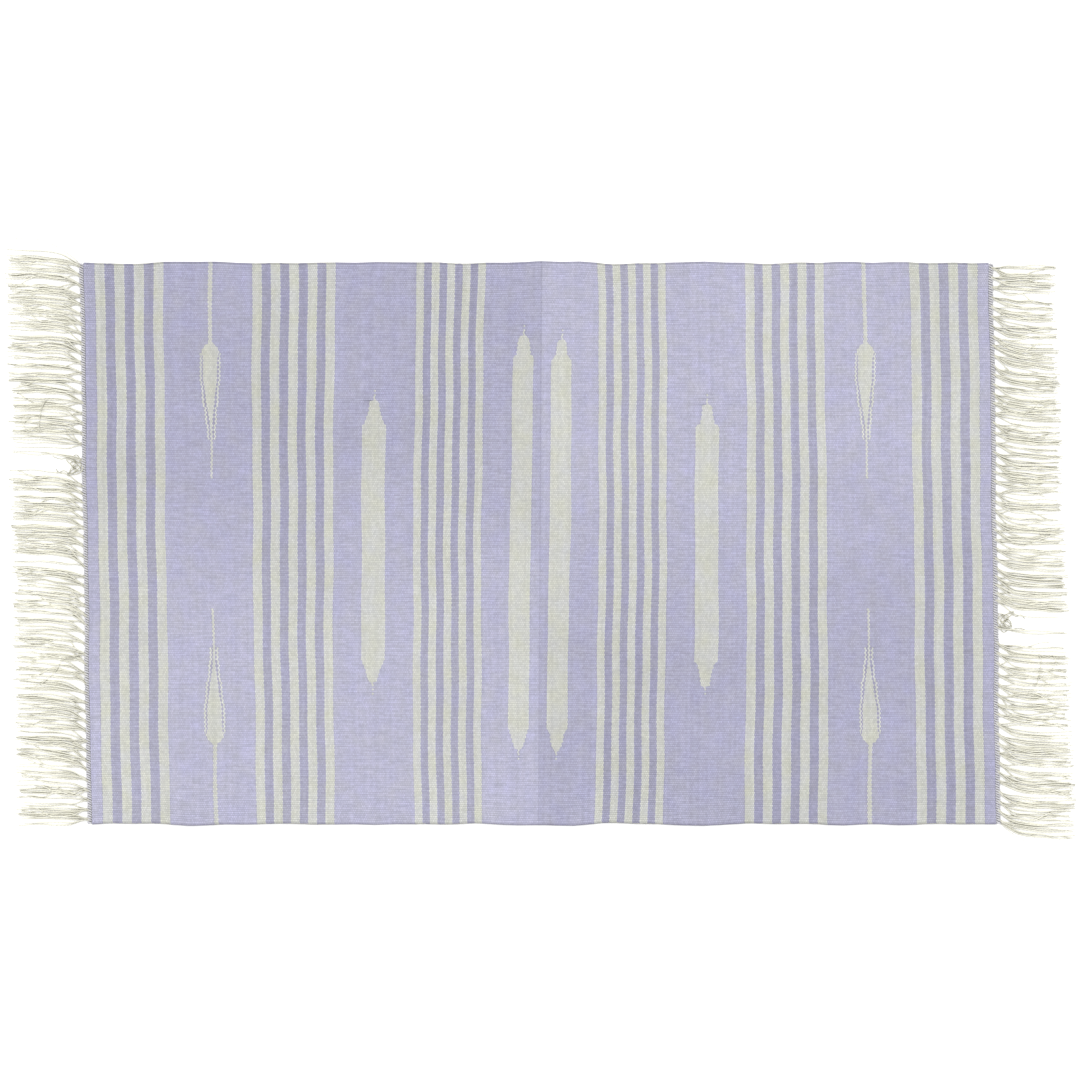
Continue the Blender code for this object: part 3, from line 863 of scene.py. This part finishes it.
fringe = {
    "tassels": 58,
    "yarns": 7,
    "yarnRadius": 0.00064,
    "segments": 15,
    "rootWidth": 0.0017,
    "spread": 0.0100,  # width of a tassel where it has opened
    "opens": (0.0, 0.06, 0.27),  # shares of the length: the earliest start, the latest, how long it takes
    "flare": (2.6, 6.6),  # how soon a tassel turns to lie straight out
    "lean": {  # how far a tip lies to the side of its root, tassel by tassel
        "left": ((0, 0.0090), (4, 0.0068), (10, 0.0082), (16, 0.0080), (30, 0.0086), (36, 0.0112)),
        "right": ((0, 0.0105), (10, 0.0090), (18, 0.0104), (25, 0.0086), (45, 0.0112), (57, 0.0104)),
    },
    "leanDraw": 0.0026,
    "firstLean": (0.0035, 0.8),  # m more at the first tassel, and over how many it fades
    "lastLean": (0.011, 55, 0.8),  # m less at the last ones, from which tassel, and how gently
    "layers": 2.1,  # yarns that lie on each other
    "reach": {"left": (0.0722, 0.0688), "right": (0.0738, 0.0612)},
    "reachDraw": (-0.006, 0.0015),
    "yarnLean": 0.0016,
    "tipDraw": 0.3,  # share of the spread
    "swing": (0.0003, 0.0010),  # m that a yarn waves by
    "waves": (0.7, 2.4),
    "rootLift": 0.0004,
    "taper": 0.35,
    "strayShare": 0.17,
    "stray": {"crossing": 0.010, "shorter": 0.016, "swing": 2.2},
    "looseThread": ((1.5, -2), (10, 6), (22, 14), (34, 20), (42, 22), (63, 23)),  # in mm from the corner
    "looseHeight": 0.0012,
    "lyingThreads": (  # two broken ends across the tassels, in mm outwards and sideways from the middle
        (
            *((468, 136), (472, 129), (474, 119), (475, 110), (473, 105)),
            *((480, 108), (486, 106), (489, 114), (483, 121), (497, 119)),
        ),
        ((439, -107), (452, -110), (460, -122), (475, -134), (488, -136)),
    ),
    "lyingHeight": 0.0029,
    "partings": {"left": (26.5, 31.5), "right": (9.5, 26.5)},
    "parted": (0.0030, 1.1),  # m that a tassel draws away from a gap, and over how many it fades
    "sag": ((17.5, 3.5, 0.0026), (21.5, 3.0, 0.0058)),  # before and after the knot: tassel, reach, m
    "knotSlot": 20.5,
    "runs": {
        "left": ((0, 9), (10, 18), (22, 31), (32, 44), (45, 57)),
        "right": ((45, 57), (32, 44), (22, 31), (10, 18), (0, 9)),
    },
}
tasselPitch = 2 * halfWidth / fringe["tassels"]


def slotDraw(sideName, slot, number):  # the same for every yarn of a tassel, from -1 to 1
    return random.Random(f"{sideName} {math.floor(slot)} {number}").uniform(-1.0, 1.0)


def rootShift(slot):  # the tassels on both sides of the knot stand a little lower
    shifts = [depth * math.exp(-(((slot - middle) / reach) ** 2)) for middle, reach, depth in fringe["sag"]]
    return sum(shifts) if slot > fringe["knotSlot"] else shifts[0]


def tasselLean(sideName, slot):
    more, fades = fringe["firstLean"]
    less, starts, gently = fringe["lastLean"]
    lean = curveThrough(fringe["lean"][sideName], slot) + more * math.exp(-slot / fades)
    lean -= less / (1 + math.exp((starts - slot) / gently))
    away, reach = fringe["parted"]
    for parting in fringe["partings"][sideName]:
        lean += math.copysign(away * math.exp(-abs(slot - parting) / reach), parting - slot)
    return lean + slotDraw(sideName, slot, 1) * fringe["leanDraw"]


def smoothStep(share):
    share = min(1.0, max(0.0, share))
    return share * share * (3 - 2 * share)


def yarnPath(sideName, sign, slot, share, draw, stray=False):
    y = halfWidth - (slot + 0.5) * tasselPitch - rootShift(slot)
    rootMiddle = settlePoint(sign * halfLength, -sign * y)
    rootX = abs(rootMiddle.x) + header["beyond"]
    rootY = -sign * rootMiddle.y
    top, bottom = fringe["reach"][sideName]
    reach = top + (bottom - top) * slot / (fringe["tassels"] - 1) + draw.uniform(*fringe["reachDraw"])
    lean = tasselLean(sideName, slot) + draw.uniform(-fringe["yarnLean"], fringe["yarnLean"])
    tipShare = share + draw.uniform(-fringe["tipDraw"], fringe["tipDraw"])
    crossing = 0.0
    if stray:
        tipShare = draw.uniform(-1.0, 1.0)
        crossing = draw.uniform(-fringe["stray"]["crossing"], fringe["stray"]["crossing"])
        reach -= draw.uniform(0.0, fringe["stray"]["shorter"])
    swing = draw.uniform(*fringe["swing"]) * (fringe["stray"]["swing"] if stray else 1.0)
    waves, phase = draw.uniform(*fringe["waves"]), draw.uniform(0, 6.28)
    layer = draw.uniform(0, 1)
    opensFirst, opensLast, opensOver = fringe["opens"]
    opensAt = draw.uniform(opensFirst, opensLast)
    slowFlare, fastFlare = fringe["flare"]
    flare = slowFlare + (fastFlare - slowFlare) * (0.5 + 0.5 * slotDraw(sideName, slot, 2))
    height = fringe["yarnRadius"] * (1 + fringe["layers"] * layer)
    points = []
    for step in range(fringe["segments"] + 1):
        s = step / fringe["segments"]
        turn = (1 - math.exp(-flare * s)) / (1 - math.exp(-flare))
        opened = smoothStep((s - opensAt) / opensOver)
        offset = share * fringe["rootWidth"] * (1 - opened) + tipShare * fringe["spread"] * opened
        wave = swing * (math.sin(2 * math.pi * waves * s + phase) - math.sin(phase)) * min(1.0, 1.6 * s)
        wave += crossing * smoothStep((s - 0.55) / 0.45)
        z = height + fringe["rootLift"] * math.exp(-7 * s)
        place = (sign * (rootX + reach * s), -sign * (rootY + lean * turn + offset + wave), z)
        points.append((place, 1.0 - fringe["taper"] * s**4))
    return points


def bendAtHeader(piece):
    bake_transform(piece)


for sideName, sign in (("left", -1), ("right", 1)):
    for runNumber, (first, last) in enumerate(fringe["runs"][sideName], 1):
        draw = random.Random(f"{sideName} {runNumber}")
        paths = []
        for slot in range(first, last + 1):
            for yarn in range(fringe["yarns"]):
                share = (yarn + draw.uniform(-0.3, 0.3)) / (fringe["yarns"] - 1) - 0.5
                stray = draw.random() < fringe["strayShare"]
                paths.append(yarnPath(sideName, sign, slot, share, draw, stray))
        run = yarnPiece(f"fringe_{sideName}_{runNumber}", paths, fringe["yarnRadius"], warpYarn)
        bendAtHeader(run)
        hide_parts(f"tassels_{sideName}_{runNumber}")
    draw = random.Random(7 + sign)
    corner = settlePoint(sign * halfLength, -sign * halfWidth)
    strands = [yarnPath(sideName, sign, slot, share, draw) for slot, share in ((19.7, -0.1), (19.9, 0.1))]
    strands.append(
        [
            ((corner.x + sign * out / 1000, corner.y - sign * up / 1000, fringe["looseHeight"]), 0.5)
            for out, up in smoothLine(fringe["looseThread"], 5)
        ]
    )
    for thread in fringe["lyingThreads"]:
        strands.append(
            [
                ((sign * out / 1000, -sign * across / 1000, fringe["lyingHeight"]), 0.5)
                for out, across in smoothLine(thread, 5)
            ]
        )
    loose = yarnPiece(f"loose_yarns_{sideName}", strands, fringe["yarnRadius"], warpYarn)
    bendAtHeader(loose)
print("fringe made")

# floor, light, camera

floorMesh = bmesh.new()
bmesh.ops.create_grid(floorMesh, x_segments=2, y_segments=2, size=40)
floorData = bpy.data.meshes.new("floor")
floorMesh.to_mesh(floorData)
floorMesh.free()
floor = bpy.data.objects.new("floor", floorData)
floor.location.z = -0.0006
scene.collection.objects.link(floor)
floorMaterial = newMaterial(
    "matt_white_painted_floor",
    {
        "Base Color": linear("#f7f7f7"),
        "Roughness": 0.9,
        "Specular IOR Level": 0.1,
        "Emission Color": (1.0, 1.0, 1.0, 1.0),
        "Emission Strength": 0.2,
    },
)[0]
floorData.materials.append(floorMaterial)

sunData = bpy.data.lights.new("window_light", "SUN")
sunData.energy = 1.92
sunData.angle = math.radians(50)
sun = bpy.data.objects.new("window_light", sunData)
sun.rotation_euler = (math.radians(-24), math.radians(-10), 0)
scene.collection.objects.link(sun)
world = bpy.data.worlds.new("studio")
world.use_nodes = True
backdrop = world.node_tree.nodes["Background"].inputs
backdrop["Color"].default_value = (1, 1, 1, 1)
backdrop["Strength"].default_value = 0.745
scene.world = world
scene.view_settings.view_transform = "Standard"

viewWidth = 1.0243  # m across the picture, at the floor
cameraData = bpy.data.cameras.new("camera")
cameraData.lens = 100
cameraData.sensor_width = 36
camera = bpy.data.objects.new("camera", cameraData)
camera.location = (0, 0.0033, viewWidth * cameraData.lens / cameraData.sensor_width)
scene.collection.objects.link(camera)
scene.camera = camera
print("floor, light and camera set")
